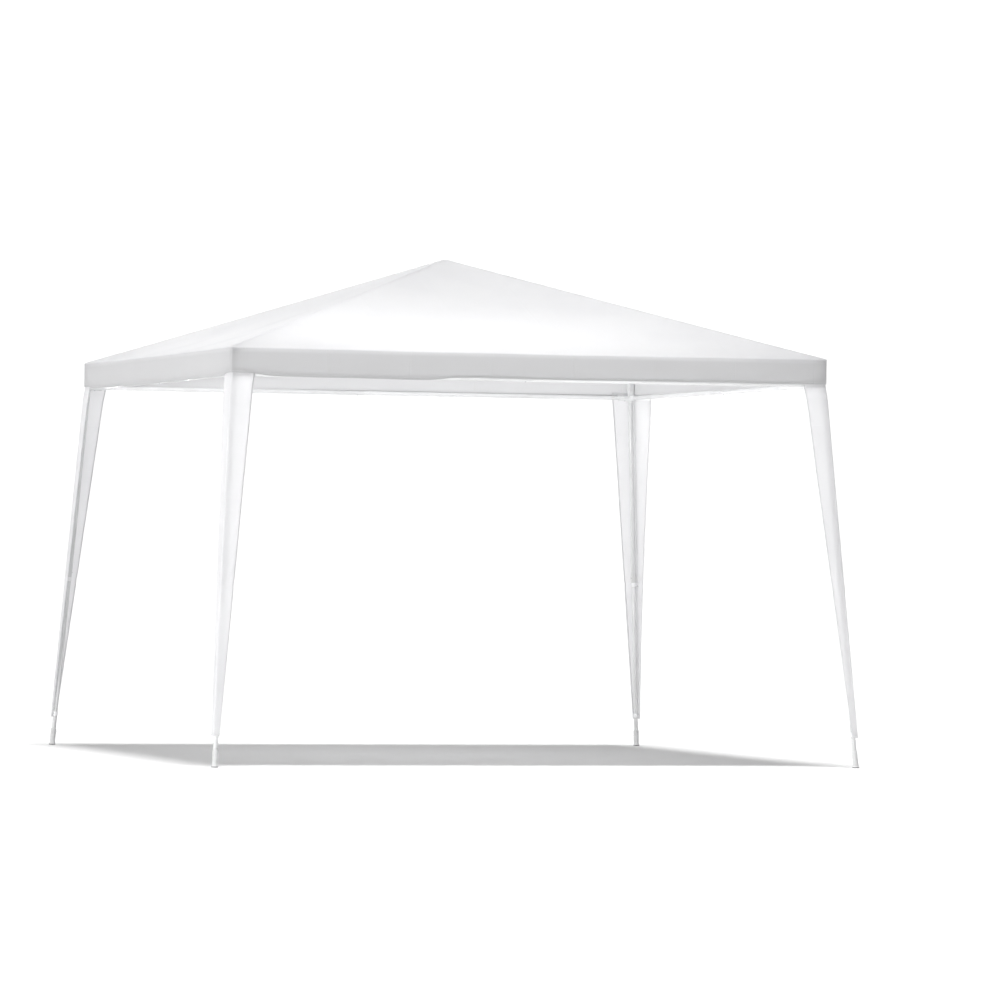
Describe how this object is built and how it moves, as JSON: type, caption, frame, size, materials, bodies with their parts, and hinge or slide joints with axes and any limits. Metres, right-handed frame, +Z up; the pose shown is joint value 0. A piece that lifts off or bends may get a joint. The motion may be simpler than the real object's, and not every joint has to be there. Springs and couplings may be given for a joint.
{
  "type": "canopy tent",
  "caption": "Free-standing square canopy tent: a white fabric pyramid roof with a short valance on a steel tube frame, whose slanted legs stand in tapered fabric covers.",
  "frame": {"origin": "on the ground, under the peak of the roof", "axes": "+Z up, +X towards the right side and +Y towards the back, seen from the front"},
  "size_m": [3.324, 3.494, 2.565],
  "materials": {
    "canopy_fabric": "white woven polyethylene sheet, matt",
    "frame_tube": "white powder coat on steel tube",
    "connector_plastic": "white moulded plastic",
    "foot_plastic": "light grey moulded plastic"
  },
  "bodies": {
    "root": {"roof_panel_front": "canopy_fabric", "roof_panel_right": "canopy_fabric", "roof_panel_back": "canopy_fabric", "roof_panel_left": "canopy_fabric", "valance_front": "canopy_fabric", "valance_right": "canopy_fabric", "valance_back": "canopy_fabric", "valance_left": "canopy_fabric", "leg_cover_front_left": "canopy_fabric", "leg_cover_front_right": "canopy_fabric", "leg_cover_back_left": "canopy_fabric", "leg_cover_back_right": "canopy_fabric", "upper_leg_front_left": "frame_tube", "upper_leg_front_right": "frame_tube", "upper_leg_back_left": "frame_tube", "upper_leg_back_right": "frame_tube", "lower_leg_front_left": "frame_tube", "lower_leg_front_right": "frame_tube", "lower_leg_back_left": "frame_tube", "lower_leg_back_right": "frame_tube", "eave_tube_front_left": "frame_tube", "eave_tube_front_right": "frame_tube", "eave_tube_back_left": "frame_tube", "eave_tube_back_right": "frame_tube", "eave_tube_left_front": "frame_tube", "eave_tube_left_back": "frame_tube", "eave_tube_right_front": "frame_tube", "eave_tube_right_back": "frame_tube", "rafter_front_left_lower": "frame_tube", "rafter_front_left_upper": "frame_tube", "rafter_front_right_lower": "frame_tube", "rafter_front_right_upper": "frame_tube", "rafter_back_left_lower": "frame_tube", "rafter_back_left_upper": "frame_tube", "rafter_back_right_lower": "frame_tube", "rafter_back_right_upper": "frame_tube", "corner_connector_front_left": "connector_plastic", "corner_connector_front_right": "connector_plastic", "corner_connector_back_left": "connector_plastic", "corner_connector_back_right": "connector_plastic", "peak_connector": "connector_plastic", "foot_cap_front_left": "foot_plastic", "foot_cap_front_right": "foot_plastic", "foot_cap_back_left": "foot_plastic", "foot_cap_back_right": "foot_plastic"}
  },
  "joints": []
}
